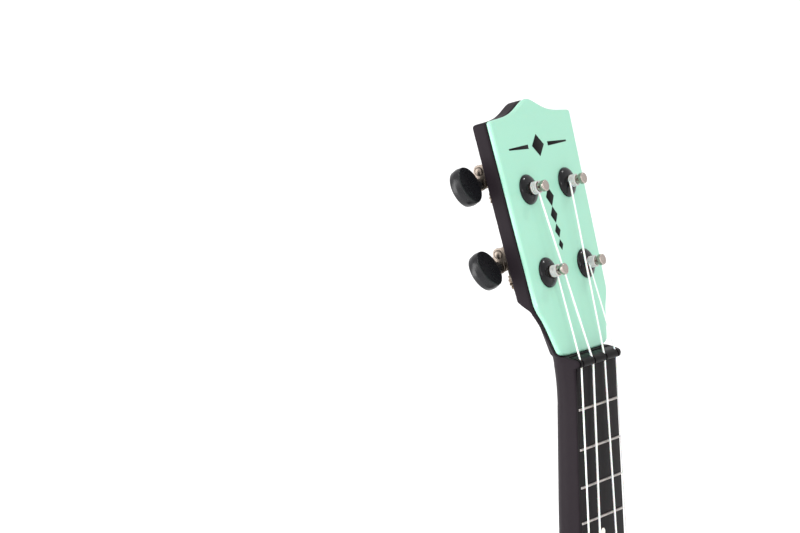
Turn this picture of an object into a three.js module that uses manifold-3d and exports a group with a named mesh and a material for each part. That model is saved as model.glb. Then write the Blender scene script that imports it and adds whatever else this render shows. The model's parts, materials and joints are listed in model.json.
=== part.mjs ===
// Soprano ukulele with geared tuners, in millimetres.
// Frame: X to the right seen from the front, +Y towards the back, +Z up the neck.
// Origin: middle of the nut's front edge, on top of the fingerboard.

import * as THREE from 'three';
import { mergeVertices } from 'three/addons/utils/BufferGeometryUtils.js';
import Module from 'manifold-3d';

const wasm = await Module();
wasm.setup();

// ---- driving dimensions -------------------------------------------------

const GAP = 0.3;                     // clearance between touching pieces
const scaleLength = 346;
const fretCount = 12;
const jointZ = -173;                 // neck meets body under fret 12

// The board is thin over the neck and has a thicker tongue over the body.
const board = { nutHalf: 17.5, jointHalf: 21.5, thickness: 1.6, tongueThickness: 4.0, endZ: -187 };
const neckTopY = board.thickness + GAP;
const fret = { width: 1.9, height: 0.85, tangWidth: 0.6, tangDepth: 0.9, lift: 0.25 };

const body = {
  length: 240, upperHalf: 56.5, waistHalf: 47.5, lowerHalf: 80,
  depth: 57, wall: 2.5, edgeRound: 8, topThickness: 2.5, topRound: 0.8,
};
const bodyTopY = board.tongueThickness + GAP;  // front face of the soundboard
const rimY = bodyTopY + body.topThickness + GAP;
const backY = bodyTopY + body.depth;
const soundHole = { z: -250, radius: 25 };

const bridge = { half: 38, height: 7.5, length: 21, z: -350, slotWidth: 1.8 };
const tieSlotDepth = 4.6;
const saddle = { half: 27, width: 2.4, z: -scaleLength, stringY: -7.1 };

const head = {
  tilt: THREE.MathUtils.degToRad(12.6), setback: 4.3,
  plateThickness: 2.8, plateRound: 0.9, coreBack: 10.4, coreRound: 0.5,
};
const plateBack = head.plateThickness + GAP;

const nut = { half: 18.0, rearZ: 4.3, rampY: 5.3, crestZ: 1.2, crestY: -2.6, seatY: 6.6, lipZ: -0.3 };

// One tuner, measured from its post: "up" is along the head, "out" is away
// from the middle line, "depth" is behind the front of the head plate.
const tuner = {
  postX: 17, rows: { upper: 81.9, lower: 43.6 }, boltHole: 4.2,
  gearTeeth: 16, gearPitch: 4.9, gearOuter: 5.35, gearRoot: 4.1, gearWidth: 4.0,
  wormPitch: 2.2, wormOuter: 2.6, wormCore: 1.2, axisDepth: 16,
  shaftRadius: 1.5, buttonRadius: 9, buttonHalf: 2.8, buttonOut: 25.3,
};
const wormLead = 2 * Math.PI * tuner.gearPitch / tuner.gearTeeth;
const wormUp = tuner.gearPitch + tuner.wormPitch;
const buttonTurn = { upper_left: -12, lower_left: -18, upper_right: 8, lower_right: -12 };

// Strings from left to right: tuner, nut, saddle offset and radius.
const strings = [
  { name: 'string_4', tuner: 'lower_left', nutX: -15.8, saddleX: -21.5, radius: 0.40 },
  { name: 'string_3', tuner: 'upper_left', nutX: -5.3, saddleX: -7.2, radius: 0.50 },
  { name: 'string_2', tuner: 'upper_right', nutX: 5.3, saddleX: 7.2, radius: 0.45 },
  { name: 'string_1', tuner: 'lower_right', nutX: 15.8, saddleX: 21.5, radius: 0.38 },
];
const nutStringY = -1.3;
const stringPostHeight = 3.4;        // above the plate, where a string meets its winding
const winding = { postRadius: 2.3, low: 2.5, high: 6.4 };

// ---- finishes -----------------------------------------------------------

const finishes = {
  neck: [0x4a4448, 0.55, 0],
  board: [0x2c292b, 0.5, 0],
  nut: [0x1e1d20, 0.4, 0],
  plate: [0xaeeacf, 0.35, 0],
  shell: [0x2b292b, 0.5, 0],
  wood: [0xc8a678, 0.7, 0],
  nickel: [0xcfc9c2, 0.28, 1],
  brass: [0xb99a5c, 0.4, 1],
  bushing: [0x131214, 0.2, 0],
  button: [0x19191b, 0.3, 0],
  string: [0xf4f4f0, 0.35, 0],
  saddle: [0xefece2, 0.4, 0],
};

function makeMesh(name, finish, geometry) {
  const [color, roughness, metalness] = finishes[finish];
  const material = new THREE.MeshStandardMaterial({ color, roughness, metalness });
  const mesh = new THREE.Mesh(welded(geometry), material);
  mesh.name = name;
  return mesh;
}

// ---- solids -------------------------------------------------------------

// Merges shared corners and drops the flat triangles that this leaves.
function welded(geometry) {
  const bare = geometry.clone();
  bare.deleteAttribute('normal');
  bare.deleteAttribute('uv');
  const merged = mergeVertices(bare, 1e-4);
  const index = Array.from(merged.index.array);
  const kept = [];
  for (let i = 0; i < index.length; i += 3) {
    const [a, b, c] = index.slice(i, i + 3);
    if (a !== b && b !== c && c !== a) {
      kept.push(a, b, c);
    }
  }
  merged.setIndex(kept);
  return merged;
}

function solidOf(geometry) {
  const shell = welded(geometry);
  return new wasm.Manifold(new wasm.Mesh({
    numProp: 3,
    vertProperties: new Float32Array(shell.attributes.position.array),
    triVerts: new Uint32Array(shell.index.array),
  }));
}

function geometryOf(solid) {
  const mesh = solid.getMesh();
  const geometry = new THREE.BufferGeometry();
  geometry.setAttribute('position', new THREE.BufferAttribute(mesh.vertProperties, 3));
  geometry.setIndex(new THREE.BufferAttribute(mesh.triVerts, 1));
  geometry.computeVertexNormals();
  return geometry;
}

// Joins the first list of geometries and cuts the second from the result.
function carve(joined, cuts = []) {
  let solid = solidOf(joined[0]);
  for (const piece of joined.slice(1)) {
    solid = solid.add(solidOf(piece));
  }
  for (const piece of cuts) {
    solid = solid.subtract(solidOf(piece));
  }
  return geometryOf(solid);
}

function common(first, second) {
  return geometryOf(solidOf(first).intersect(solidOf(second)));
}

// A plate drawn in X and Z, from frontY back by its thickness, with its edges rounded.
function plate(shape, frontY, thickness, round = 0, roundSteps = 2, curveSegments = 6) {
  const geometry = new THREE.ExtrudeGeometry(shape, {
    depth: thickness - 2 * round, curveSegments, bevelEnabled: round > 0,
    bevelThickness: round, bevelSize: round, bevelOffset: -round, bevelSegments: roundSteps,
  });
  geometry.translate(0, 0, round);
  geometry.rotateX(Math.PI / 2);
  geometry.translate(0, frontY + thickness, 0);
  return geometry;
}

// A shape drawn in Y and Z, run along X from low to high.
function shapeAlongX(shape, low, high, curveSegments = 4) {
  const options = { depth: high - low, curveSegments, bevelEnabled: false };
  const drawingToWorld = new THREE.Matrix4().set(0, 0, 1, low, 1, 0, 0, 0, 0, 1, 0, 0, 0, 0, 0, 1);
  return new THREE.ExtrudeGeometry(shape, options).applyMatrix4(drawingToWorld);
}

function profileAlongX(points, low, high) {
  return shapeAlongX(new THREE.Shape(points.map(([y, z]) => new THREE.Vector2(y, z))), low, high);
}

function box(x, y, z) {
  const geometry = new THREE.BoxGeometry(x[1] - x[0], y[1] - y[0], z[1] - z[0]);
  return geometry.translate((x[0] + x[1]) / 2, (y[0] + y[1]) / 2, (z[0] + z[1]) / 2);
}

// A turned solid about X, Y or Z, from [radius, height] points that start and end on the axis.
function turned(points, axis, segments = 16) {
  const profile = points.map(([radius, height]) => new THREE.Vector2(radius, height));
  if (THREE.ShapeUtils.area(profile) < 0) {
    profile.reverse();
  }
  const geometry = new THREE.LatheGeometry(profile, segments);
  if (axis === 'x') {
    geometry.rotateZ(-Math.PI / 2);
  } else if (axis === 'z') {
    geometry.rotateX(Math.PI / 2);
  }
  return welded(geometry);
}

function rod(radius, low, high, axis, segments = 16) {
  return turned([[0, low], [radius, low], [radius, high], [0, high]], axis, segments);
}

// A closed skin over rings of points, all of one length, with flat ends.
function loft(rings) {
  const size = rings[0].length;
  const positions = rings.flat().flatMap((point) => point.toArray());
  const index = [];
  for (let ring = 0; ring + 1 < rings.length; ring += 1) {
    for (let i = 0; i < size; i += 1) {
      const a = ring * size + i;
      const b = ring * size + (i + 1) % size;
      index.push(a, b, b + size, a, b + size, a + size);
    }
  }
  const last = (rings.length - 1) * size;
  for (let i = 1; i + 1 < size; i += 1) {
    index.push(0, i + 1, i, last, last + i, last + i + 1);
  }
  const geometry = new THREE.BufferGeometry();
  geometry.setAttribute('position', new THREE.Float32BufferAttribute(positions, 3));
  geometry.setIndex(index);
  return geometry;
}

function mirrored(half) {
  const other = half.map((point) => new THREE.Vector2(-point.x, point.y)).reverse();
  return new THREE.Shape([...half, ...other.slice(1, -1)]);
}

// Puts a geometry made in the head's own frame into the instrument's frame.
function tiltedWithHead(geometry) {
  return geometry.rotateX(-head.tilt).translate(0, head.setback, 0);
}

// ---- outlines -----------------------------------------------------------

// Figure-eight outline of the body, in X and Z, pulled in by inset.
function bodyOutline(inset = 0) {
  const top = jointZ - inset;
  const bottom = jointZ - body.length + inset;
  const upper = body.upperHalf - inset;
  const waist = body.waistHalf - inset;
  const lower = body.lowerHalf - inset;
  const path = new THREE.Path();
  path.moveTo(0, bottom);
  path.bezierCurveTo(0.56 * lower, bottom, lower, -391, lower, -348);
  path.bezierCurveTo(lower, -309, waist, -291, waist, -264);
  path.bezierCurveTo(waist, -243, upper, -236, upper, -213);
  path.bezierCurveTo(upper, -187, 0.58 * upper, top, 0, top);
  return mirrored(path.getPoints(7));
}

// Head outline in X and distance up the head: waisted foot, straight sides, crowned top.
function headOutline(grow = 0) {
  const path = new THREE.Path();
  path.moveTo(0, 5 - grow);
  path.lineTo(14, 5.2 - grow);
  path.quadraticCurveTo(19.5, 5.4 - grow, 21.2 + grow, 7.3);
  path.bezierCurveTo(22.8 + grow, 10, 25 + grow, 19.5, 28.2 + grow, 24.3);
  path.bezierCurveTo(29.6 + grow, 26.3, 30.9 + grow, 28.5, 31.3 + grow, 31.5);
  path.quadraticCurveTo(32.7 + grow, 62, 34.8 + grow, 113.4);
  path.quadraticCurveTo(34.9 + grow, 115.1 + grow, 33.2, 115.3 + grow);
  path.bezierCurveTo(27, 115.8 + grow, 20, 115.9 + grow, 14.5, 117.6 + grow);
  path.bezierCurveTo(10, 119 + grow, 6.5, 121 + grow, 3.4, 122.2 + grow);
  path.quadraticCurveTo(1.6, 122.9 + grow, 0, 122.9 + grow);
  return mirrored(path.getPoints(3));
}

// A round hole, drawn the opposite way round to the outline that it pierces.
function circle(x, y, radius, clockwise = true) {
  return new THREE.Path().absarc(x, y, radius, 0, 2 * Math.PI, clockwise);
}

function boardHalf(z) {
  return THREE.MathUtils.mapLinear(z, 0, jointZ, board.nutHalf, board.jointHalf);
}

function stringX(string, z) {
  return THREE.MathUtils.mapLinear(z, 0, saddle.z, string.nutX, string.saddleX);
}

// ---- body ---------------------------------------------------------------

const tunerNames = ['upper_left', 'lower_left', 'upper_right', 'lower_right'];
const boltY = 34;
const boltRadius = 3;
const blockDepthZ = 20;

function boltHole(low, high) {
  return rod(boltRadius + GAP, low, high, 'z').translate(0, boltY, 0);
}

function bodyShell() {
  const frontExtra = 20;
  const depth = backY - rimY;
  const outer = plate(bodyOutline(), rimY - frontExtra, depth + frontExtra, body.edgeRound, 3);
  const innerRound = body.edgeRound - body.wall;
  const innerDepth = depth + 2 * frontExtra - body.wall;
  const inner = plate(bodyOutline(body.wall), rimY - 2 * frontExtra, innerDepth, innerRound, 3);
  const front = box([-100, 100], [rimY - 2 * frontExtra, rimY], [-430, -150]);
  return carve([outer], [inner, front, boltHole(jointZ - 10, jointZ + 10)]);
}

function soundboard() {
  const outline = bodyOutline();
  outline.holes.push(circle(0, soundHole.z, soundHole.radius));
  return plate(outline, bodyTopY, body.topThickness, body.topRound, 1, 12);
}

// What fits inside the walls of the body, from the rim backwards.
function cavity() {
  return plate(bodyOutline(body.wall + GAP), rimY, 60);
}

function neckBlock() {
  const blank = box([-28, 28], [rimY, backY - 12], [jointZ - body.wall - blockDepthZ, jointZ]);
  return carve([common(blank, cavity())], [boltHole(jointZ - 40, jointZ + 10)]);
}

function neckBolt() {
  const headZ = jointZ - body.wall - blockDepthZ - GAP;
  const tipZ = jointZ + 17;
  const points = [[0, headZ - 4], [5, headZ - 4], [5, headZ], [boltRadius, headZ],
    [boltRadius, tipZ], [0, tipZ]];
  return turned(points, 'z').translate(0, boltY, 0);
}

function brace(z) {
  const blank = box([-90, 90], [rimY, rimY + 9], [z - 3, z + 3]);
  return common(blank, cavity());
}

function bridgeBlock() {
  const { half, height, length, z, slotWidth } = bridge;
  const corner = 3;
  const low = z - length / 2;
  const high = z + length / 2;
  const outline = new THREE.Shape();
  outline.moveTo(-half + corner, low);
  outline.absarc(half - corner, low + corner, corner, -Math.PI / 2, 0);
  outline.absarc(half - corner, high - corner, corner, 0, Math.PI / 2);
  outline.absarc(-half + corner, high - corner, corner, Math.PI / 2, Math.PI);
  outline.absarc(-half + corner, low + corner, corner, Math.PI, 1.5 * Math.PI);
  const topY = bodyTopY - GAP - height;
  const block = plate(outline, topY, height, 0.8, 1, 3);
  const slotHalf = saddle.width / 2 + GAP;
  const cuts = [box([-saddle.half - GAP, saddle.half + GAP], [topY - 5, topY + 4],
    [saddle.z - slotHalf, saddle.z + slotHalf])];
  for (const string of strings) {
    const x = string.saddleX;
    const across = [x - slotWidth / 2, x + slotWidth / 2];
    cuts.push(box(across, [topY - 5, topY + tieSlotDepth], [low - 1, saddle.z - 2.6]));
  }
  return carve([block], cuts);
}

function saddleBar() {
  const topY = saddle.stringY + strings[1].radius + GAP;
  const slotFloor = bodyTopY - bridge.height + 4 - 2 * GAP;
  const w = saddle.width / 2;
  const profile = [[slotFloor, saddle.z - w], [slotFloor, saddle.z + w], [topY + 0.5, saddle.z + w],
    [topY, saddle.z + w - 0.6], [topY, saddle.z + 0.1], [topY + 1.5, saddle.z - w]];
  return profileAlongX(profile, -saddle.half, saddle.half);
}

// ---- neck and head ------------------------------------------------------

// One section of the neck: flat front, straight sides, rounded back reaching backAt.
function neckRing(z, half, backAt, power, front = neckTopY) {
  const steps = 14;
  const shoulder = Math.max(bodyTopY + 1.5, front + 0.5);
  const ring = [];
  for (let i = 0; i <= steps; i += 1) {
    const angle = Math.PI * i / steps;
    const x = half * Math.sign(Math.cos(angle)) * Math.abs(Math.cos(angle)) ** (2 / power);
    const y = shoulder + (backAt - shoulder) * Math.sin(angle) ** (2 / power);
    ring.push(new THREE.Vector3(x, y, z));
  }
  ring.push(new THREE.Vector3(-half, front, z), new THREE.Vector3(half, front, z));
  return ring;
}

// Back of the neck at height z: nearly straight, sweeping out into the heel.
function neckBack(z) {
  const straight = THREE.MathUtils.mapLinear(z, 0, jointZ, 17, 19.4);
  const sweep = THREE.MathUtils.clamp((-128 - z) / 44, 0, 1);
  return straight + 31 * (1 - Math.cos(Math.PI * sweep)) / 2;
}

function neckShaft() {
  const rings = [];
  for (const z of [-178, -169, -163, -157, -151, -145, -138, -128, -90]) {
    rings.push(neckRing(z, boardHalf(Math.max(z, jointZ)), neckBack(z), 2.3));
  }
  // The shaft widens and squares off into the foot of the head, and its sides
  // rise beside the nut as two cheeks.
  const flare = [[-18, 17.9, 17.1, 2.35], [-11, 18.0, 17.0, 2.3], [-5, 18.4, 16.8, 2.2],
    [0.28, 19.0, 16.6, 2.1], [0.3, 19.0, 16.6, 2.1, -1.6], [1.2, 19.1, 16.6, 2.1, -2.5],
    [2.6, 19.3, 16.5, 2.1, -2.2], [3.6, 19.6, 16.4, 2.1, -0.6], [4.2, 19.8, 16.4, 2.1, 2.4],
    [4.6, 19.9, 16.4, 2.1, 5.2], [4.9, 20.0, 16.5, 2.1, 8], [12, 22.6, 17.7, 2.1, 10.2],
    [20, 25.6, 19.4, 2.2, 11.9], [28, 27.5, 21, 2.4, 13.7], [33, 27, 21.6, 2.6, 14.8]];
  for (const station of flare) {
    rings.push(neckRing(...station));
  }
  return loft(rings);
}

function postHoles(low, high) {
  const holes = [];
  for (const side of [-1, 1]) {
    for (const up of Object.values(tuner.rows)) {
      holes.push(rod(tuner.boltHole, low, high, 'y', 14).translate(side * tuner.postX, 0, up));
    }
  }
  return holes;
}

// Slab behind the head plate. Its foot is cut back on a slope towards the throat.
function headCore() {
  const slab = plate(headOutline(), plateBack, head.coreBack - plateBack, head.coreRound, 1);
  const slope = [[5.5, 28.2], [12.1, 35.7], [30, 35.7], [30, -20], [5.5, -20]];
  return carve([slab], [profileAlongX(slope, -50, 50)]);
}

function neckWithHead() {
  const plateRoom = plate(headOutline(GAP), plateBack - 30, 30);
  const bodyRoom = plate(bodyOutline(-GAP), 0, 70);
  const seatHalf = nut.half + GAP;
  const nutSeat = box([-seatHalf, seatHalf], [-5, nut.seatY + GAP], [0, nut.rearZ + GAP]);
  const headCuts = [plateRoom, ...postHoles(0, 30)].map(tiltedWithHead);
  const cuts = [...headCuts, bodyRoom, nutSeat, boltHole(jointZ - 10, jointZ + 20)];
  return carve([neckShaft(), tiltedWithHead(headCore())], cuts);
}

function headPlate() {
  const blank = plate(headOutline(), 0, head.plateThickness, head.plateRound, 2);
  return carve([blank], postHoles(-5, 5));
}

function fretZ(number) {
  return -scaleLength * (1 - 2 ** (-number / 12));
}

// The board's outline between two heights.
function boardShape(low, high) {
  const corners = [[-boardHalf(high), high], [-boardHalf(low), low],
    [boardHalf(low), low], [boardHalf(high), high]];
  return new THREE.Shape(corners.map(([x, z]) => new THREE.Vector2(x, z)));
}

function fingerboard() {
  const tongueTop = jointZ - 3;
  const slots = [];
  for (let number = 1; number <= fretCount; number += 1) {
    const z = fretZ(number);
    const slotHalf = fret.tangWidth / 2 + GAP;
    slots.push(box([-40, 40], [-5, fret.tangDepth + GAP], [z - slotHalf, z + slotHalf]));
  }
  const sheet = plate(boardShape(board.endZ, 0), 0, board.thickness);
  const tongue = plate(boardShape(board.endZ, tongueTop), 0, board.tongueThickness);
  return carve([sheet, tongue], slots);
}

function fretWire(number) {
  const z = fretZ(number);
  const w = fret.width / 2;
  const t = fret.tangWidth / 2;
  const half = boardHalf(z) - 0.4;
  const profile = [[fret.tangDepth, -t], [fret.tangDepth, t], [-fret.lift, t], [-fret.lift, w],
    [-fret.height * 0.75, w * 0.6], [-fret.height, 0], [-fret.height * 0.75, -w * 0.6],
    [-fret.lift, -w], [-fret.lift, -t]];
  return profileAlongX(profile.map(([y, dz]) => [y, z + dz]), -half, half);
}

// Quarter-round roll that rises from the head plate to a crest over the board's end.
function nutRoll() {
  const { half, rearZ, rampY, crestZ, crestY, seatY, lipZ } = nut;
  const steps = 7;
  const rampFullness = 0.77;
  const profile = [[seatY, GAP], [seatY, rearZ], [rampY, rearZ]];
  for (let i = 1; i <= steps; i += 1) {
    const angle = Math.PI * i / (2 * steps);
    const y = rampY - (rampY - crestY) * Math.sin(angle) ** rampFullness;
    const z = crestZ + (rearZ - crestZ) * Math.cos(angle) ** rampFullness;
    profile.push([y, z]);
  }
  profile.push([crestY + 0.5, lipZ + 0.5], [crestY + 1.3, lipZ], [-GAP, lipZ], [-GAP, GAP]);
  const blank = profileAlongX(profile, -half, half);
  const slots = strings.map((string) => {
    const floor = nutStringY + string.radius + GAP;
    const outline = [[floor, -3], [floor, 2.2], [floor + 2, 8], [-8, 8], [-8, -3]];
    const reach = string.radius + 2 * GAP;
    return profileAlongX(outline, string.nutX - reach, string.nutX + reach);
  });
  return carve([blank], slots);
}

// ---- tuners, in the head's frame: X, depth behind the plate, up ----------

const plateFrontDepth = head.coreBack + GAP;
const plateRearDepth = plateFrontDepth + 1.0;

// Ear that carries the worm shaft: an eye on an arm, with a rounded lug above it.
function ear(outLow, side, up) {
  const thickness = 1.2;
  const shape = new THREE.Shape();
  const eye = tuner.axisDepth;
  shape.moveTo(plateFrontDepth + 0.2, 8.2);
  shape.lineTo(eye - 1, 8.7);
  shape.absarc(eye - 1, 5.8, 2.9, Math.PI / 2, 0, true);
  shape.lineTo(eye + 3, 0);
  shape.absarc(eye, 0, 3, 0, -Math.PI, true);
  shape.lineTo(eye - 3, 2);
  shape.lineTo(plateFrontDepth + 0.2, 3.4);
  shape.holes.push(circle(eye, 0, tuner.shaftRadius + 0.15, false));
  const low = side > 0 ? outLow : -outLow - thickness;
  return shapeAlongX(shape, low, low + thickness).translate(side * tuner.postX, 0, up + wormUp);
}

function tunerPlate(side, up) {
  const outline = new THREE.Shape();
  const x = (out) => side * (tuner.postX + out);
  const corners = [[-7, -5.5], [8, -5.5], [13.6, 1], [13.6, 16.4], [-7, 16.4]];
  const ordered = side > 0 ? corners : corners.slice().reverse();
  outline.setFromPoints(ordered.map(([out, rise]) => new THREE.Vector2(x(out), up + rise)));
  outline.holes.push(circle(side * tuner.postX, up, 3.1));
  const base = plate(outline, plateFrontDepth, plateRearDepth - plateFrontDepth);
  return carve([base, ear(-6.6, side, up), ear(12.0, side, up)]);
}

function bushing() {
  const bore = 2.65;
  const barrel = 3.9;
  const points = [[bore, 8], [barrel, 8], [barrel, -GAP], [7, -GAP], [6.5, -1.4], [4.6, -2.2],
    [bore, -2.3], [bore, 8]];
  return turned(points, 'y', 16);
}

function post() {
  const tip = -10;
  const foot = tuner.axisDepth + tuner.gearWidth / 2 + 0.4;
  const wound = winding.postRadius;
  const points = [[0, foot], [1.8, foot], [1.8, tuner.axisDepth - 2.6], [2.5, tuner.axisDepth - 2.6],
    [2.5, -winding.low], [wound, -winding.low - 0.1], [wound, -7.8], [2.6, -8.3], [2.6, tip + 0.4],
    [2.1, tip], [0, tip]];
  const hole = rod(0.7, -5, 5, 'x', 6).translate(0, -7.1, 0);
  const screwHole = rod(1.2, foot - 5, foot + 5, 'y', 8);
  return carve([turned(points, 'y', 12)], [hole, screwHole]);
}

function stringWinding(string) {
  const turnWidth = 2 * string.radius;
  const inner = winding.postRadius + 0.15;
  const points = [];
  const turns = Math.floor((winding.high - winding.low) / turnWidth);
  for (let i = 0; i < turns; i += 1) {
    const low = winding.low + i * turnWidth;
    points.push([inner + string.radius, -low], [inner + turnWidth - 0.1, -low - string.radius]);
  }
  const top = winding.low + turns * turnWidth;
  points.push([inner + string.radius, -top], [inner, -top], [inner, -winding.low], points[0]);
  return turned(points, 'y', 12);
}

// Worm wheel with slanted teeth, its top tooth on the worm's centre plane.
function wormWheel() {
  const { gearTeeth, gearOuter, gearRoot, gearWidth, gearPitch, axisDepth } = tuner;
  const flanks = [[gearRoot, -0.58], [gearOuter, -0.27], [gearOuter, 0.27], [gearRoot, 0.58]];
  const points = [];
  for (let tooth = 0; tooth < gearTeeth; tooth += 1) {
    const middle = Math.PI / 2 + 2 * Math.PI * tooth / gearTeeth;
    for (const [radius, halfWidth] of flanks) {
      const angle = middle + halfWidth / radius;
      points.push(new THREE.Vector2(radius * Math.cos(angle), radius * Math.sin(angle)));
    }
  }
  const shape = new THREE.Shape(points);
  shape.holes.push(circle(0, 0, 2.1));
  const wheel = plate(shape, axisDepth - gearWidth / 2, gearWidth, 0, 0, 4);
  const slant = wormLead / (2 * Math.PI * tuner.wormPitch) / gearPitch;
  const position = wheel.attributes.position;
  for (let i = 0; i < position.count; i += 1) {
    const point = new THREE.Vector3().fromBufferAttribute(position, i);
    point.applyAxisAngle(new THREE.Vector3(0, 1, 0), slant * (point.y - axisDepth));
    position.setXYZ(i, point.x, point.y, point.z);
  }
  return wheel;
}

function wheelScrew() {
  const seat = tuner.axisDepth + tuner.gearWidth / 2 + 0.4 + GAP;
  const points = [[0, seat - 3.5], [0.9, seat - 3.5], [0.9, seat], [2.7, seat], [2.5, seat + 0.9],
    [1.5, seat + 1.4], [0, seat + 1.5]];
  return turned(points, 'y', 12);
}

// Shaft with a one-start thread in one skin: a section with one lobe that turns as it runs
// along X. At the underside a thread gap lies over the post's axis.
function wormShaft(side) {
  const { wormOuter, wormCore, shaftRadius, buttonOut, buttonRadius } = tuner;
  const collar = 2.4;
  const threadHalf = 2.25 * wormLead;
  const stepsPerTurn = 6;
  const lobe = [wormOuter, wormOuter, wormOuter, wormCore, wormCore, wormCore, wormCore, wormCore];
  const around = [-0.115, 0, 0.115, 0.25, 0.375, 0.5, 0.625, 0.75];
  const stations = [[-7.4, shaftRadius], [-4.9, shaftRadius]];
  for (let step = 0; step <= 4.5 * stepsPerTurn; step += 1) {
    stations.push([-threadHalf + wormLead * step / stepsPerTurn, lobe]);
  }
  stations.push([4.9, shaftRadius], [8.4, shaftRadius], [8.6, collar], [9.4, collar], [9.6, shaftRadius],
    [10.2, shaftRadius], [10.4, collar], [11.4, collar], [11.6, shaftRadius],
    [buttonOut - buttonRadius + 4, shaftRadius]);
  if (side < 0) {
    stations.reverse();
  }
  return loft(stations.map(([out, radius]) => {
    const x = side * out;
    const turn = THREE.MathUtils.clamp(x, -threadHalf, threadHalf) / wormLead + 0.25;
    return around.map((fraction, k) => {
      const angle = 2 * Math.PI * (turn + fraction);
      const r = Array.isArray(radius) ? radius[k] : radius;
      return new THREE.Vector3(x, r * Math.cos(angle), r * Math.sin(angle));
    });
  }));
}

// Round paddle, its flat faces along the shaft, bored from the side for the shaft.
function button(side) {
  const { buttonRadius, buttonHalf, shaftRadius } = tuner;
  const points = [[0, -buttonHalf], [buttonRadius - 1.4, -buttonHalf],
    [buttonRadius - 0.4, -buttonHalf + 0.8], [buttonRadius, 0], [buttonRadius - 0.4, buttonHalf - 0.8],
    [buttonRadius - 1.4, buttonHalf], [0, buttonHalf]];
  const disc = turned(points, 'y', 20);
  const inner = -side * buttonRadius;
  const rodFrom = (radius, from, to) => rod(radius, Math.min(from, to), Math.max(from, to), 'x', 8);
  const stem = rodFrom(2.7, inner - side * 1.6, 0);
  const bore = rodFrom(shaftRadius + GAP, 2 * inner, inner + side * 4.5);
  return carve([disc, stem], [bore]);
}

// ---- strings ------------------------------------------------------------

function headPoint(x, height, up) {
  return new THREE.Vector3(x, -height, up)
    .applyAxisAngle(new THREE.Vector3(1, 0, 0), -head.tilt)
    .add(new THREE.Vector3(0, head.setback, 0));
}

// Whole route: knot end, tie slot, saddle, nut, and the side of the winding.
function stringRoute(string) {
  const side = string.tuner.endsWith('left') ? -1 : 1;
  const up = tuner.rows[string.tuner.split('_')[0]];
  const wound = winding.postRadius + string.radius;
  const slotY = bodyTopY - GAP - bridge.height + tieSlotDepth - GAP - string.radius;
  const crest = new THREE.Vector3(string.nutX, nutStringY, 1.2);
  const meet = headPoint(side * (tuner.postX - wound), stringPostHeight, up - 3.4);
  return [
    new THREE.Vector3(string.saddleX, slotY, bridge.z - bridge.length / 2 - 1.6),
    new THREE.Vector3(string.saddleX, slotY, saddle.z - 8.5),
    new THREE.Vector3(string.saddleX, saddle.stringY, saddle.z),
    crest,
    meet,
  ];
}

// A round wire along straight runs, mitred at each bend.
function wire(route, radius, sides = 8) {
  const rings = route.map((point, i) => {
    const before = route[Math.max(i - 1, 0)];
    const after = route[Math.min(i + 1, route.length - 1)];
    const along = point.clone().sub(before).normalize().add(after.clone().sub(point).normalize());
    const across = new THREE.Vector3(1, 0, 0).cross(along.normalize()).normalize();
    const side = along.clone().cross(across).negate();
    const ring = [];
    for (let k = 0; k < sides; k += 1) {
      const angle = 2 * Math.PI * k / sides;
      ring.push(point.clone().addScaledVector(side, radius * Math.cos(angle))
        .addScaledVector(across, radius * Math.sin(angle)));
    }
    return ring;
  });
  return loft(rings);
}

// ---- assembly -----------------------------------------------------------

const ukulele = new THREE.Group();
ukulele.add(
  makeMesh('body_shell', 'shell', bodyShell()),
  makeMesh('soundboard', 'plate', soundboard()),
  makeMesh('neck_block', 'wood', neckBlock()),
  makeMesh('neck_bolt', 'nickel', neckBolt()),
  makeMesh('brace_upper', 'wood', brace(-212)),
  makeMesh('brace_lower', 'wood', brace(-298)),
  makeMesh('bridge', 'nut', bridgeBlock()),
  makeMesh('saddle', 'saddle', saddleBar()),
  makeMesh('neck', 'neck', neckWithHead()),
  makeMesh('fingerboard', 'board', fingerboard()),
  makeMesh('nut', 'nut', nutRoll()),
);
for (let number = 1; number <= fretCount; number += 1) {
  ukulele.add(makeMesh(`fret_${String(number).padStart(2, '0')}`, 'nickel', fretWire(number)));
}
for (const string of strings) {
  ukulele.add(makeMesh(string.name, 'string', wire(stringRoute(string), string.radius)));
}

const headGroup = new THREE.Group();
headGroup.rotation.x = -head.tilt;
headGroup.position.y = head.setback;
headGroup.add(makeMesh('headstock_plate', 'plate', headPlate()));
ukulele.add(headGroup);

for (const name of tunerNames) {
  const side = name.endsWith('left') ? -1 : 1;
  const up = tuner.rows[name.split('_')[0]];
  const string = strings.find((candidate) => candidate.tuner === name);
  headGroup.add(makeMesh(`tuner_plate_${name}`, 'nickel', tunerPlate(side, up)));

  const onPost = new THREE.Group();
  onPost.position.set(side * tuner.postX, 0, up);
  onPost.add(
    makeMesh(`bushing_${name}`, 'bushing', bushing()),
    makeMesh(`post_${name}`, 'nickel', post()),
    makeMesh(`worm_wheel_${name}`, 'brass', wormWheel()),
    makeMesh(`wheel_screw_${name}`, 'nickel', wheelScrew()),
    makeMesh(`winding_${name}`, 'string', stringWinding(string)),
  );
  headGroup.add(onPost);

  const onShaft = new THREE.Group();
  onShaft.position.set(side * tuner.postX, tuner.axisDepth, up + wormUp);
  onShaft.add(makeMesh(`worm_shaft_${name}`, 'nickel', wormShaft(side)));
  const knob = makeMesh(`button_${name}`, 'button', button(side));
  knob.position.x = side * tuner.buttonOut;
  knob.rotation.x = THREE.MathUtils.degToRad(buttonTurn[name]);
  onShaft.add(knob);
  headGroup.add(onShaft);
}

export default ukulele;
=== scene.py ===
import json
import math

import bmesh
import bpy
from mathutils import Matrix, Vector


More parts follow.
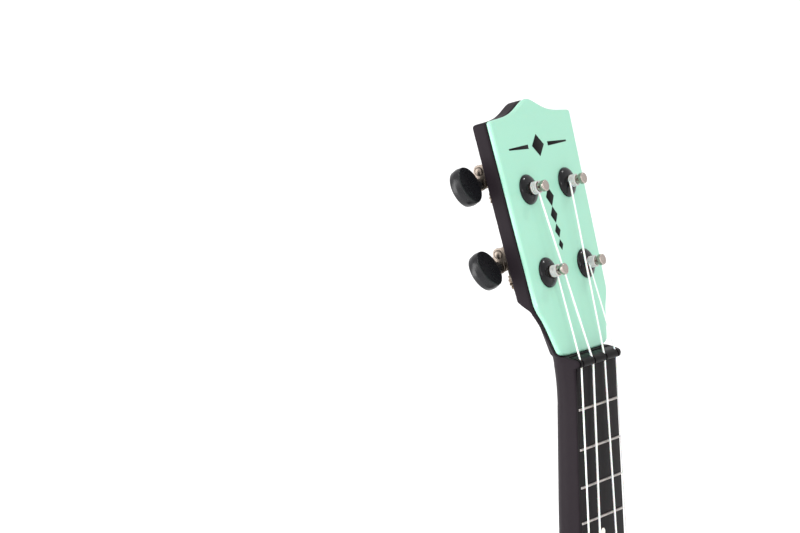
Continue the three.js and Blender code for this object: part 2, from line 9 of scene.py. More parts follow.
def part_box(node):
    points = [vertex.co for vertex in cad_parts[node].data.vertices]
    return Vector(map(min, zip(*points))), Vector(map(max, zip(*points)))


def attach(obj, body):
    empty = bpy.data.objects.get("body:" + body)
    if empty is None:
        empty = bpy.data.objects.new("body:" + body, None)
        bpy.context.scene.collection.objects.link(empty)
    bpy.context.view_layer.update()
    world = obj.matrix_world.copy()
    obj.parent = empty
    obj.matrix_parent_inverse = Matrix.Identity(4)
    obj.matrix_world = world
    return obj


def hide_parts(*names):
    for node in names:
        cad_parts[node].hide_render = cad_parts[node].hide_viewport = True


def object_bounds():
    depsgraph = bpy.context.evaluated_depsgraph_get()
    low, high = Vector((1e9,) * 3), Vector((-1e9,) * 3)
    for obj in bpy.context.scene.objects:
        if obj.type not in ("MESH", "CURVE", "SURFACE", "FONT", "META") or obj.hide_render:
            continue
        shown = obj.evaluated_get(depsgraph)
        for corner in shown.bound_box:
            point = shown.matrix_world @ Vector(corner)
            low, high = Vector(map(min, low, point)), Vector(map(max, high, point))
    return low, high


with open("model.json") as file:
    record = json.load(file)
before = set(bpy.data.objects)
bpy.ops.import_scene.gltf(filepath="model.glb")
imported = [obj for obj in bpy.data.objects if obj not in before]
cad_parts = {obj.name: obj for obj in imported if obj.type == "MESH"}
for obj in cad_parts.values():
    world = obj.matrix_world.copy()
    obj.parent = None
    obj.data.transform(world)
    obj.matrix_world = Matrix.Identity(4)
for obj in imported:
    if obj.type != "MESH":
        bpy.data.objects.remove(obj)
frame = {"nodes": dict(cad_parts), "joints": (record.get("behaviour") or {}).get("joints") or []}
cad_low, cad_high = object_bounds()

MM = 0.001
TUNERS = ["upper_left", "lower_left", "upper_right", "lower_right"]
STRINGS = {"string_4": "lower_left", "string_3": "upper_left",
           "string_2": "upper_right", "string_1": "lower_right"}
JOINTS = {joint["name"]: joint for joint in frame["joints"]}

# The head's own frame, from the axes of the string posts: X, depth behind the plate, up the head.
post_axis = Vector(JOINTS["spindle_turn_upper_left"]["axis"])
TILT = math.atan2(post_axis.z, -post_axis.y)
post_place = Vector(JOINTS["spindle_turn_upper_left"]["pos_m"])
SETBACK = post_place.y - post_place.z * math.tan(TILT)
HEAD_TURN = Matrix.Rotation(-TILT, 4, "X")
TO_HEAD = Matrix.Translation((0, SETBACK, 0)) @ HEAD_TURN


def shift(x, y, z):
    """A move in mm."""
    return Matrix.Translation((x * MM, y * MM, z * MM))


def side_of(tuner):
    return -1 if tuner.endswith("left") else 1


def joint_place(kind, tuner):
    """Where the key or the spindle of a tuner turns, in metres."""
    return Vector(JOINTS[f"{kind}_turn_{tuner}"]["pos_m"])


# ---- meshes ----

def add_object(name, data):
    made = bpy.data.objects.new(name, data)
    bpy.context.scene.collection.objects.link(made)
    return made


def add_mesh(name, verts, faces, smooth=True):
    """A mesh object from points in metres."""
    mesh = bpy.data.meshes.new(name)
    mesh.from_pydata([tuple(v) for v in verts], [], faces)
    mesh.update()
    if smooth:
        mesh.shade_smooth()
    return add_object(name, mesh)


def baked(piece):
    """Applies the piece's modifiers, or turns its curve into a mesh, and keeps its name."""
    bpy.context.view_layer.update()
    graph = bpy.context.evaluated_depsgraph_get()
    mesh = bpy.data.meshes.new_from_object(piece.evaluated_get(graph))
    name = piece.name
    place = piece.matrix_world.copy()
    bpy.data.objects.remove(piece)
    mesh.name = name
    mesh.transform(place)
    return add_object(name, mesh)


def smooth_by_angle(piece, degrees=35):
    piece.data.shade_smooth()
    piece.data.set_sharp_from_angle(angle=math.radians(degrees))


def band(size, lower, upper):
    """The faces between two rings of a skin, given by their numbers."""
    faces = []
    for i in range(size):
        j = (i + 1) % size
        faces.append((lower * size + i, lower * size + j, upper * size + j, upper * size + i))
    return faces


def cap(size, ring):
    return tuple(range(ring * size, (ring + 1) * size))


def loft(name, rings):
    """A skin over rings of points, with capped ends."""
    size = len(rings[0])
    verts = [point for ring in rings for point in ring]
    faces = []
    for r in range(len(rings) - 1):
        faces += band(size, r, r + 1)
    faces.append(tuple(reversed(cap(size, 0))))
    faces.append(cap(size, len(rings) - 1))
    return add_mesh(name, verts, faces)


def turned(name, profile, steps=48, place=Matrix.Identity(4), axis="Y"):
    """A turned piece. The profile is (radius, height) in mm, from the axis out and back to it."""
    verts = []
    faces = []
    for radius, height in profile:
        for i in range(steps):
            angle = 2 * math.pi * i / steps
            a, b = radius * math.cos(angle), radius * math.sin(angle)
            point = (a, height, b) if axis == "Y" else (height, a, b)
            verts.append(place @ (Vector(point) * MM))
    for r in range(len(profile) - 1):
        faces += band(steps, r, r + 1)
    piece = add_mesh(name, verts, faces)
    clean(piece)
    return piece


def clean(piece, distance=1e-6):
    """Welds doubled points, closes open ends and turns every face outwards."""
    work = bmesh.new()
    work.from_mesh(piece.data)
    bmesh.ops.remove_doubles(work, verts=work.verts, dist=distance)
    bmesh.ops.dissolve_degenerate(work, edges=work.edges, dist=distance)
    open_edges = [edge for edge in work.edges if edge.is_boundary]
    if open_edges:
        bmesh.ops.holes_fill(work, edges=open_edges)
    bmesh.ops.recalc_face_normals(work, faces=work.faces)
    work.to_mesh(piece.data)
    work.free()
    smooth_by_angle(piece)


def plate(name, outlines, front, thickness, round_edge, place=Matrix.Identity(4), detail=4):
    """A flat piece drawn in X and Z (mm): the first outline is its edge and the rest are holes.
    It runs back from front, with both its rims rounded."""
    curve = bpy.data.curves.new(name, "CURVE")
    curve.dimensions = "2D"
    curve.fill_mode = "BOTH"
    curve.extrude = (thickness / 2 - round_edge) * MM
    curve.bevel_depth = round_edge * MM
    curve.bevel_resolution = detail
    curve.offset = -round_edge * MM
    for outline in outlines:
        spline = curve.splines.new("POLY")
        spline.points.add(len(outline) - 1)
        for point, (x, z) in zip(spline.points, outline):
            point.co = (x * MM, z * MM, 0, 1)
        spline.use_cyclic_u = True
    piece = add_object(name, curve)
    upright = Matrix.Rotation(math.pi / 2, 4, "X")
    piece.matrix_world = place @ shift(0, front + thickness / 2, 0) @ upright
    piece = baked(piece)
    clean(piece)
    return piece


def block(low, high):
    """A plain box in mm, used only as a cutter."""
    verts = [Vector((x, y, z)) * MM for x in (low[0], high[0]) for y in (low[1], high[1])
             for z in (low[2], high[2])]
    faces = [(0, 1, 3, 2), (4, 6, 7, 5), (0, 4, 5, 1), (2, 3, 7, 6), (0, 2, 6, 4), (1, 5, 7, 3)]
    return add_mesh("cutter", verts, faces, smooth=False)


def combine(piece, others, operation="DIFFERENCE"):
    """Joins or cuts the piece with the others, which are used up."""
    for other in others:
        step = piece.modifiers.new("combine", "BOOLEAN")
        step.operation = operation
        step.solver = "EXACT"
        step.object = other
    result = baked(piece)
    for other in others:
        bpy.data.objects.remove(other)
    return result


def rounded(piece, width, segments=3, degrees=30):
    """Rounds the sharp edges of a mesh."""
    step = piece.modifiers.new("rounded", "BEVEL")
    step.width = width * MM
    step.segments = segments
    step.limit_method = "ANGLE"
    step.angle_limit = math.radians(degrees)
    step.use_clamp_overlap = True
    result = baked(piece)
    smooth_by_angle(result)
    return result


def wire(name, points, radius, resolution=5):
    """A round wire in metres along a list of points."""
    curve = bpy.data.curves.new(name, "CURVE")
    curve.dimensions = "3D"
    curve.bevel_depth = radius
    curve.bevel_resolution = resolution
    curve.use_fill_caps = True
    spline = curve.splines.new("POLY")
    spline.points.add(len(points) - 1)
    for point, place_at in zip(spline.points, points):
        point.co = (*place_at, 1)
    piece = baked(add_object(name, curve))
    piece.data.shade_smooth()
    return piece


# ---- outlines, in mm ----

def bezier(points, steps):
    """Points along one quadratic or cubic curve, without its first."""
    found = []
    order = len(points) - 1
    for i in range(1, steps + 1):
        t = i / steps
        at = [0.0, 0.0]
        for k, point in enumerate(points):
            weight = math.comb(order, k) * (1 - t) ** (order - k) * t ** k
            at[0] += weight * point[0]
            at[1] += weight * point[1]
        found.append(tuple(at))
    return found


def path(start, *curves, steps):
    """Points along a chain of curves; each gives its control points after the last one's end."""
    points = [start]
    for controls in curves:
        if len(controls) == 1:
            points.append(controls[0])
        else:
            points += bezier([points[-1], *controls], steps)
    return points


def both_sides(half):
    """A closed outline from its right half, which starts and ends on the middle line."""
    return half + [(-x, z) for x, z in reversed(half[1:-1])]


def circle(x, z, radius, steps=48):
    angles = [2 * math.pi * i / steps for i in range(steps)]
    return [(x + radius * math.cos(angle), z + radius * math.sin(angle)) for angle in angles]


shell_low, shell_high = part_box("body_shell")
TOP_Z = shell_high.z / MM
TAIL_Z = shell_low.z / MM
BACK_Y = shell_high.y / MM
RIM_Y = shell_low.y / MM
LOWER_HALF = shell_high.x / MM
UPPER_HALF = 56.5
WAIST_HALF = 47.5
LOWER_Z, WAIST_Z, UPPER_Z = -348, -264, -213


def body_outline(inset=0.0):
    """The body's figure of eight, through its widest and narrowest places."""
    top, bottom = TOP_Z - inset, TAIL_Z + inset
    upper, waist, lower = UPPER_HALF - inset, WAIST_HALF - inset, LOWER_HALF - inset
    return both_sides(path(
        (0, bottom),
        [(0.56 * lower, bottom), (lower, LOWER_Z - 43), (lower, LOWER_Z)],
        [(lower, LOWER_Z + 39), (waist, WAIST_Z - 27), (waist, WAIST_Z)],
        [(waist, WAIST_Z + 21), (upper, UPPER_Z - 23), (upper, UPPER_Z)],
        [(upper, UPPER_Z + 26), (0.58 * upper, top), (0, top)], steps=20))


def head_outline(grow=0.0):
    """The head in its own frame: foot, flared sides, ears and the pointed crest."""
    g = grow
    return both_sides(path(
        (0, 5 - g), [(14, 5.2 - g)], [(19.5, 5.4 - g), (21.2 + g, 7.3)],
        [(22.8 + g, 10), (25 + g, 19.5), (28.2 + g, 24.3)],
        [(29.6 + g, 26.3), (30.9 + g, 28.5), (31.3 + g, 31.5)],
        [(32.7 + g, 62), (34.8 + g, 113.4)],
        [(34.9 + g, 115.1 + g), (33.2, 115.3 + g)],
        [(27, 115.8 + g), (20, 115.9 + g), (14.5, 117.6 + g)],
        [(10, 119 + g), (6.5, 121 + g), (3.4, 122.2 + g)],
        [(1.6, 122.9 + g), (0, 122.9 + g)], steps=12))


# ---- materials ----

HIGHLIGHT_FROM, HIGHLIGHT_TO = 0.52, 0.62  # pointiness where the painted edge highlight starts, and where it is full


def add_node(nodes, kind, **inputs):
    """A shader node with some inputs set; an underscore in their names stands for a space."""
    node = nodes.new(kind)
    for name, value in inputs.items():
        node.inputs[name.replace("_", " ")].default_value = value
    return node


def mix_colors(nodes, links, factor, below, above):
    """Mixes two colours, or the colour of an output and a colour, by the factor output."""
    mix = nodes.new("ShaderNodeMix")
    mix.data_type = "RGBA"
    if isinstance(below, bpy.types.NodeSocket):
        links.new(below, mix.inputs["A"])
    else:
        mix.inputs["A"].default_value = (*below, 1)
    mix.inputs["B"].default_value = (*above, 1)
    links.new(factor, mix.inputs["Factor"])
    return mix.outputs["Result"]


def noise(nodes, links, vector, scale, detail):
    texture = add_node(nodes, "ShaderNodeTexNoise", Scale=scale, Detail=detail)
    links.new(vector, texture.inputs["Vector"])
    return texture.outputs["Fac"]


def painted_edge_highlight(nodes, links, color, edge_highlight, highlight_color):
    """Paints a highlight: lightens a colour output where the surface is pointed, as light catches
    rounded edges.
    """
    geometry = nodes.new("ShaderNodeNewGeometry")
    ramp = nodes.new("ShaderNodeValToRGB")
    ramp.color_ramp.elements[0].position = HIGHLIGHT_FROM
    ramp.color_ramp.elements[1].position = HIGHLIGHT_TO
    links.new(geometry.outputs["Pointiness"], ramp.inputs["Fac"])
    amount = nodes.new("ShaderNodeMath")
    amount.operation = "MULTIPLY"
    amount.inputs[1].default_value = edge_highlight
    links.new(ramp.outputs["Color"], amount.inputs[0])
    return mix_colors(nodes, links, amount.outputs[0], color, highlight_color)


def material(name, color, roughness, *, metallic=0.0, mottle=0.0, mottle_scale=60.0, grain=0.0,
             grain_scale=900.0, grain_stretch=(1, 1, 1), rough_spread=0.0, coat=0.0,
             coat_roughness=0.1, subsurface=0.0, specular=0.5, edge_highlight=0.0, highlight_color=None):
    """A finish with mottled colour, patches of roughness, fine grain in bump and a painted
    highlight on pointed edges.
    Grain is the depth of the bump in mm."""
    made = bpy.data.materials.new(name)
    made.use_nodes = True
    nodes, links = made.node_tree.nodes, made.node_tree.links
    shader = nodes["Principled BSDF"]
    for setting, value in (
            ("Base Color", (*color, 1)), ("Roughness", roughness), ("Metallic", metallic),
            ("Coat Weight", coat), ("Coat Roughness", coat_roughness),
            ("Specular IOR Level", specular), ("Subsurface Weight", subsurface),
            ("Subsurface Scale", 2 * MM)):
        shader.inputs[setting].default_value = value
    where = nodes.new("ShaderNodeTexCoord")
    if mottle > 0:
        patches = noise(nodes, links, where.outputs["Object"], mottle_scale, 6)
        darker = [channel * (1 - mottle) for channel in color]
        lighter = [min(1, channel * (1 + mottle)) for channel in color]
        tone = mix_colors(nodes, links, patches, darker, lighter)
        # Painted highlight: pointed edges are lightened towards the edge colour.
        if edge_highlight > 0:
            tone = painted_edge_highlight(nodes, links, tone, edge_highlight, highlight_color)
        links.new(tone, shader.inputs["Base Color"])
    stretched = add_node(nodes, "ShaderNodeMapping", Scale=grain_stretch)
    links.new(where.outputs["Object"], stretched.inputs["Vector"])
    if rough_spread > 0:
        wear = noise(nodes, links, stretched.outputs["Vector"], grain_scale * 0.2, 8)
        span = add_node(nodes, "ShaderNodeMapRange", To_Min=max(0.02, roughness - rough_spread),
                        To_Max=min(1.0, roughness + rough_spread))
        links.new(wear, span.inputs["Value"])
        links.new(span.outputs["Result"], shader.inputs["Roughness"])
    if grain > 0:
        fine = noise(nodes, links, stretched.outputs["Vector"], grain_scale, 3)
        bump = add_node(nodes, "ShaderNodeBump", Strength=1.0, Distance=grain * MM)
        links.new(fine, bump.inputs["Height"])
        links.new(bump.outputs["Normal"], shader.inputs["Normal"])
    return made


def wood_material(name, pale, dark):
    """Straight grain along X with darker winter lines."""
    made = material(name, pale, 0.6, rough_spread=0.08, grain=0.03, grain_stretch=(0.15, 1, 1))
    nodes, links = made.node_tree.nodes, made.node_tree.links
    where = nodes.new("ShaderNodeTexCoord")
    turn = add_node(nodes, "ShaderNodeMapping", Scale=(0.08, 1, 1))
    lines = add_node(nodes, "ShaderNodeTexWave", Scale=260, Distortion=5, Detail=3)
    lines.wave_type = "BANDS"
    lines.bands_direction = "Z"
    links.new(where.outputs["Object"], turn.inputs["Vector"])
    links.new(turn.outputs["Vector"], lines.inputs["Vector"])
    tone = mix_colors(nodes, links, lines.outputs["Fac"], pale, dark)
    links.new(tone, nodes["Principled BSDF"].inputs["Base Color"])
    return made


# Its pale edge colour is a painted highlight on the rounded edges of the face plates.
SEAFOAM = material("seafoam_plastic", (0.293, 0.571, 0.439), 0.36, mottle=0.02, mottle_scale=25,
                   grain=0.012, grain_scale=700, rough_spread=0.06, subsurface=0.06,
                   edge_highlight=0.35, highlight_color=(0.68, 0.97, 0.84))
NECK = material("charcoal_plastic", (0.015, 0.011, 0.014), 0.5, specular=0.07, mottle=0.12,
                mottle_scale=40, grain=0.02, grain_scale=1400, rough_spread=0.08)
BOARD = material("board_plastic", (0.0066, 0.0054, 0.0062), 0.42, specular=0.08, mottle=0.2,
                 mottle_scale=90, grain=0.03, grain_scale=900, grain_stretch=(1, 1, 0.05),
                 rough_spread=0.1)
# Its lighter edge colour is a painted highlight on the rounded edges of nut, bridge, ring and
# inlays.
MOULDING = material("black_moulding", (0.004, 0.0036, 0.004), 0.34, specular=0.05, mottle=0.15,
                    grain=0.015, grain_scale=1200, rough_spread=0.08, edge_highlight=0.2,
                    highlight_color=(0.04, 0.036, 0.038))
SHELL = material("textured_shell", (0.0135, 0.01, 0.0125), 0.52, specular=0.14, mottle=0.15,
                 mottle_scale=30, grain=0.10, grain_scale=1100, rough_spread=0.08)
NICKEL = material("nickel_plate", (0.42, 0.365, 0.33), 0.24, metallic=1.0, mottle=0.12,
                  mottle_scale=180, grain=0.004, grain_scale=2500, rough_spread=0.07)
STEEL = material("fret_metal", (0.46, 0.43, 0.41), 0.34, metallic=1.0, mottle=0.06,
                 mottle_scale=150, grain=0.006, grain_scale=2500, rough_spread=0.08)
AGED = material("aged_nickel", (0.17, 0.142, 0.12), 0.36, metallic=1.0, mottle=0.35,
                mottle_scale=420, grain=0.01, grain_scale=1800, rough_spread=0.12)
BRASS = material("machined_brass", (0.14, 0.108, 0.08), 0.42, metallic=1.0, mottle=0.18,
                 mottle_scale=220, grain=0.01, grain_scale=2200, rough_spread=0.1)
BUSHING = material("gloss_black", (0.004, 0.004, 0.005), 0.18, mottle=0.2, grain=0.004,
                   grain_scale=900, rough_spread=0.05, coat=0.12, coat_roughness=0.1,
                   specular=0.2)
# Its lighter edge colour is a painted highlight along the paddles' rims.
BUTTON = material("satin_black", (0.007, 0.007, 0.0085), 0.28, specular=0.28, mottle=0.25,
                  mottle_scale=200, grain=0.02, grain_scale=1500, rough_spread=0.1,
                  edge_highlight=0.3, highlight_color=(0.05, 0.05, 0.052))
NYLON = material("white_nylon", (0.86, 0.86, 0.85), 0.28, mottle=0.04, mottle_scale=300,
                 grain=0.004, grain_scale=2500, rough_spread=0.05, subsurface=0.2)
# Painted shade: the strings' own nylon, painted a darker grey where it is wound round the post.
SHADED_WINDING = material("wound_nylon_painted_shade", (0.50, 0.505, 0.49), 0.3, mottle=0.3, mottle_scale=700,
                 grain=0.01, grain_scale=2500, rough_spread=0.08, subsurface=0.1)
IVORY = material("ivory_plastic", (0.80, 0.77, 0.68), 0.3, mottle=0.04, mottle_scale=120,
                 grain=0.006, grain_scale=1500, rough_spread=0.06, subsurface=0.1)
SPRUCE = wood_material("spruce", (0.66, 0.48, 0.29), (0.42, 0.25, 0.12))
FINISH = {"seafoam": SEAFOAM, "neck": NECK, "board": BOARD, "moulding": MOULDING, "shell": SHELL,
          "nickel": NICKEL, "brass": BRASS, "bushing": BUSHING, "button": BUTTON,
          "string": NYLON, "saddle": IVORY, "spruce": SPRUCE}


def dress(piece, look):
    piece.data.materials.clear()
    piece.data.materials.append(look)


def finish_piece(piece, slot, body="root", replaces=(), look=None):
    """Gives a piece its material, picked by its slot unless a look is given, attaches it to the
    body it rides on and hides the nodes it stands for.
    """
    dress(piece, look or FINISH[slot])
    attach(piece, body)
    if replaces:
        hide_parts(*replaces)
    return piece


# ---- body ----

BODY_WALL = 2.5
BACK_ROUND = 8.0
board_low, board_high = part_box("soundboard")
SOUNDBOARD_Y = board_low.y / MM
SOUNDBOARD_THICK = (board_high.y - board_low.y) / MM
HOLE_Z = -250.0
HOLE_RADIUS = 25.0
RING_NEAR, RING_FAR = 2.5, 5.5  # the ring's edges, outwards from the edge of the sound hole


def arc_inset(radius, angle):
    """How far a quarter round has come in, and gone back, at an angle from the side wall."""
    return radius * (1 - math.cos(angle)), radius * math.sin(angle)


def make_body_shell():
    """One moulding: outer skin, rounded to the flat back, then the inner skin back to the rim."""
    rings = []

    def ring(inset, y):
        rings.append([Vector((x, y, z)) * MM for x, z in body_outline(inset)])

    steps = 10
    lip = 0.5
    ring(lip, RIM_Y)
    ring(lip * 0.24, RIM_Y + lip * 0.3)
    ring(0, RIM_Y + lip)
    for i in range(steps + 1):
        inset, back = arc_inset(BACK_ROUND, math.pi / 2 * i / steps)
        ring(inset, BACK_Y - BACK_ROUND + back)
    outer = len(rings)
    inner_round = BACK_ROUND - BODY_WALL
    for i in reversed(range(steps + 1)):
        inset, back = arc_inset(inner_round, math.pi / 2 * i / steps)
        ring(BODY_WALL + inset, BACK_Y - BODY_WALL - inner_round + back)
    ring(BODY_WALL, RIM_Y)
    size = len(rings[0])
    faces = []
    for r in range(len(rings)):
        if r != outer - 1:
            faces += band(size, r, (r + 1) % len(rings))
    faces += [cap(size, outer - 1), cap(size, outer)]
    shell = add_mesh("moulded_back", [point for row in rings for point in row], faces)
    clean(shell)
    return finish_piece(shell, "shell", replaces=["body_shell"])


def make_soundboard():
    top = plate("front_plate", [body_outline(), circle(0, HOLE_Z, HOLE_RADIUS, 96)],
                SOUNDBOARD_Y, SOUNDBOARD_THICK, 0.8)
    finish_piece(top, "seafoam", replaces=["soundboard"])
    ring = plate("sound_hole_ring", [circle(0, HOLE_Z, HOLE_RADIUS + RING_FAR, 96),
                                     circle(0, HOLE_Z, HOLE_RADIUS + RING_NEAR, 96)],
                 SOUNDBOARD_Y - 0.25, 0.6, 0.12)
    finish_piece(ring, "moulding")


BRIDGE_CORNER = 3.0
SLOT_HALF = 0.7
SLOT_DEPTH = 4.6
SLOT_TO_SADDLE = 1.6


def rounded_rectangle(half_x, low_z, high_z, radius, steps=8):
    x, low, high = half_x - radius, low_z + radius, high_z - radius
    outline = []
    for turn, (cx, cz) in enumerate(((x, high), (-x, high), (-x, low), (x, low))):
        for i in range(steps + 1):
            angle = math.radians(90 * turn + 90 * i / steps)
            outline.append((cx + radius * math.cos(angle), cz + radius * math.sin(angle)))
    return outline


def make_bridge():
    """The block with a groove for the saddle and a slot from each string to the tail side."""
    low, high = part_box("bridge")
    top, bottom_z = low.y / MM, low.z / MM
    outline = rounded_rectangle(high.x / MM, bottom_z, high.z / MM, BRIDGE_CORNER)
    bridge = plate("tie_bridge", [outline], top, SOUNDBOARD_Y - top, 1.2)
    saddle_low, saddle_high = (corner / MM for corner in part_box("saddle"))
    above = top - 5
    cuts = [block((saddle_low.x - 0.1, above, saddle_low.z - 0.05),
                  (saddle_high.x + 0.1, saddle_high.y, saddle_high.z + 0.05))]
    for name in STRINGS:
        x = string_saddle_x(name)
        cuts.append(block((x - SLOT_HALF, above, bottom_z - 1),
                          (x + SLOT_HALF, top + SLOT_DEPTH, saddle_low.z - SLOT_TO_SADDLE)))
    bridge = combine(bridge, cuts)
    bridge = rounded(bridge, 0.22, 2, 50)
    finish_piece(bridge, "moulding", replaces=["bridge"])


def make_saddle():
    """A bar with a flat back, crowned near its front, where the strings break over it."""
    low, high = (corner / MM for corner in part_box("saddle"))
    half = (high.z - low.z) / 2
    middle = (high.z + low.z) / 2
    crest, foot = low.y, high.y
    profile = [(foot, -half), (foot, half), (crest + 0.7, half), (crest + 0.18, half - 0.35),
               (crest, half - 0.8), (crest + 0.05, 0.1), (crest + 0.5, -half + 0.5),
               (crest + 1.5, -half)]
    rings = [[Vector((x, y, middle + dz)) * MM for y, dz in profile] for x in (low.x, high.x)]
    bar = loft("saddle_bar", rings)
    clean(bar)
    bar = rounded(bar, 0.3, 3, 25)
    finish_piece(bar, "saddle", replaces=["saddle"])


# ---- neck and head ----

BOARD_THICK = 0.7
NECK_SIDE_FRONT = 0.45
FRETS = 12
MARKED_FRETS = (5, 7, 10)
FRET_ROOT = 0.3  # how deep a wire is let into the board
FRET_SLIMMING = 0.62  # a visible wire's width as a share of its CAD solid's
NUT_HALF_WIDTH = 17.5
JOINT_HALF_WIDTH = 21.5
PLATE_THICK = 2.8
CORE_FRONT = 2.95
CORE_BACK = 10.4
POST_X = abs(post_place.x) / MM
HEEL_TOP = -128  # where the back of the neck starts to sweep out
HEEL_RUN = 44  # how far down it has swept out in full
HEEL_DEPTH = 31
NECK_FOOT = -178
CLEAR = 0.15  # left open between the neck and the pieces let into it


def board_half(z):
    return NUT_HALF_WIDTH + (JOINT_HALF_WIDTH - NUT_HALF_WIDTH) * z / TOP_Z


def neck_back(z):
    """Back of the neck at height z: nearly straight, then sweeping out into the heel."""
    down = z / TOP_Z
    straight = min(17 + 2.4 * down, 16.3 + 4.3 * down)
    sweep = min(max((HEEL_TOP - z) / HEEL_RUN, 0), 1)
    return straight + HEEL_DEPTH * (1 - math.cos(math.pi * sweep)) / 2


def neck_ring(z, half, back, power, front=NECK_SIDE_FRONT, steps=40):
    """A D-shaped section: flat front, straight sides, and a back that is fuller as power rises."""
    shoulder = max(SOUNDBOARD_Y + 1.5, front + 0.5)
    ring = []
    for i in range(steps + 1):
        angle = math.pi * i / steps
        wide = math.copysign(abs(math.cos(angle)) ** (2 / power), math.cos(angle))
        deep = math.sin(angle) ** (2 / power) if 0 < i < steps else 0
        ring.append(Vector((half * wide, shoulder + (back - shoulder) * deep, z)) * MM)
    ring.append(Vector((-half, front, z)) * MM)
    ring.append(Vector((half, front, z)) * MM)
    return ring


def spline_rows(rows, steps):
    """Rows of numbers with smooth rows filled in between them."""
    filled = []
    for i in range(len(rows) - 1):
        before = rows[max(i - 1, 0)]
        after = rows[min(i + 2, len(rows) - 1)]
        for k in range(steps):
            t = k / steps
            row = []
            for p0, p1, p2, p3 in zip(before, rows[i], rows[i + 1], after):
                row.append(0.5 * (2 * p1 + (p2 - p0) * t + (2 * p0 - 5 * p1 + 4 * p2 - p3) * t * t
                                  + (3 * p1 - p0 - 3 * p2 + p3) * t ** 3))
            filled.append(row)
    filled.append(list(rows[-1]))
    return filled


# Sections of the neck near the nut: height, half width, back, fullness of the back, front.
# The shaft flares, two cheeks rise beside the nut, and the throat runs up behind the head's foot.
FLARE = [(-18, 17.9, 16.7, 2.17, 0.45), (-11, 18.05, 16.75, 2.17, 0.45),
         (-5, 18.5, 16.95, 2.18, 0.45), (-0.6, 19.0, 17.3, 2.2, 0.45)]
THROAT = [(-0.3, 19.0, 17.3, 2.2, -0.9), (0.2, 19.0, 17.35, 2.2, -1.7),
          (1.2, 19.1, 17.4, 2.2, -2.4), (2.6, 19.4, 17.5, 2.2, -2.1),
          (3.6, 19.7, 17.6, 2.2, -0.5), (4.3, 19.9, 17.7, 2.2, 2.6),
          (4.9, 20.1, 17.7, 2.2, 5.4), (5.3, 20.3, 17.8, 2.2, 8),
          (12, 22.7, 18.4, 2.15, 10.2), (20, 25.6, 19.4, 2.2, 11.9),
          (28, 27.5, 21, 2.4, 13.7), (33, 27, 21.6, 2.6, 14.8)]


def make_neck_shaft():
    """The shaft from inside the body up to the throat, with the heel."""
    rings = []
    for z in range(NECK_FOOT, FLARE[0][0], 3):
        power = 2.15 + 0.15 * min(1, z / -70)
        rings.append(neck_ring(z, board_half(max(z, TOP_Z)), neck_back(z), power))
    for row in spline_rows(FLARE, 3) + spline_rows(THROAT, 2):
        rings.append(neck_ring(*row))
    shaft = loft("neck_moulding", rings)
    clean(shaft)
    return shaft


def make_head_core():
    """The dark core of the head, its lower end cut to a slope that runs into the throat."""
    core = plate("core", [head_outline()], CORE_FRONT, CORE_BACK - CORE_FRONT, 0.6, TO_HEAD)
    slope = [(5.5, 28.2), (12.1, 35.7), (30, 35.7), (30, -20), (4.4, -20), (4.4, 10)]
    wedge = loft("wedge", [[TO_HEAD @ (Vector((x, depth, up)) * MM) for depth, up in slope]
                           for x in (-50, 50)])
    clean(wedge)
    return combine(core, [wedge])


def neck_rooms():
    """Cutters for what meets the neck: plate, body, nut, the nut's lip and the soundboard."""
    plate_room = plate("room", [head_outline(CLEAR)], CORE_FRONT - 30, 30, 0.01, TO_HEAD, detail=0)
    body_room = plate("body_room", [body_outline(-CLEAR)], -5, 90, 0.01, detail=0)
    nut_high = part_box("nut")[1] / MM
    seat_x = nut_high.x + 0.02
    nut_seat = block((-seat_x, -5, 0), (seat_x, nut_high.y + CLEAR, nut_high.z + 0.1))
    lip_room = block((-seat_x, -6, -4), (seat_x, NECK_SIDE_FRONT, 0.2))
    tongue_room = block((-40, -5, TOP_Z - 20), (40, SOUNDBOARD_Y, TOP_Z + 0.05))
    return [plate_room, body_room, nut_seat, lip_room, tongue_room]


def make_neck():
    """Shaft, heel and head core, joined and then smoothed into one moulding."""
    shaft = make_neck_shaft()
    core = make_head_core()
    rooms = neck_rooms()
    neck = combine(shaft, [core], "UNION")
    neck = combine(neck, rooms)
    melt = neck.modifiers.new("melt", "REMESH")
    melt.mode = "VOXEL"
    melt.voxel_size = 0.38 * MM
    soften = neck.modifiers.new("soften", "SMOOTH")
    soften.factor = 0.5
    soften.iterations = 20
    thin = neck.modifiers.new("thin", "DECIMATE")
    thin.ratio = 0.3
    neck = baked(neck)
    neck.data.shade_smooth()
    finish_piece(neck, "neck", replaces=["neck"])


def make_head_face():
    face = plate("head_face", [head_outline()], 0, PLATE_THICK, 1.1, TO_HEAD, detail=6)
    finish_piece(face, "seafoam", replaces=["headstock_plate"])


def diamond(x, z, half_x, half_z):
    return [(x + half_x, z), (x, z + half_z), (x - half_x, z), (x, z - half_z)]


def make_ornament():
    """A plain geometric inlay: a row of bars and a diamond, and a falling row of diamonds."""
    shapes = {"inlay_diamond_top": diamond(0, 101, 5.2, 5.2)}
    for side, word in ((-1, "left"), (1, "right")):
        near, far = side * 8.5, side * 25
        bar = [(near, 100), (far, 100.6), (far, 101.4), (near, 102)]
        shapes[f"inlay_bar_{word}"] = bar if side < 0 else bar[::-1]
    for row, (z, half) in enumerate(((77, 3.4), (68.5, 2.9), (61, 2.4), (54.5, 1.9))):
        shapes[f"inlay_diamond_{row + 1}"] = diamond(0, z, half, half * 1.35)
    for name, outline in shapes.items():
        inlay = plate(name, [outline], -0.06, 0.3, 0.03, TO_HEAD, detail=1)
        finish_piece(inlay, "moulding")


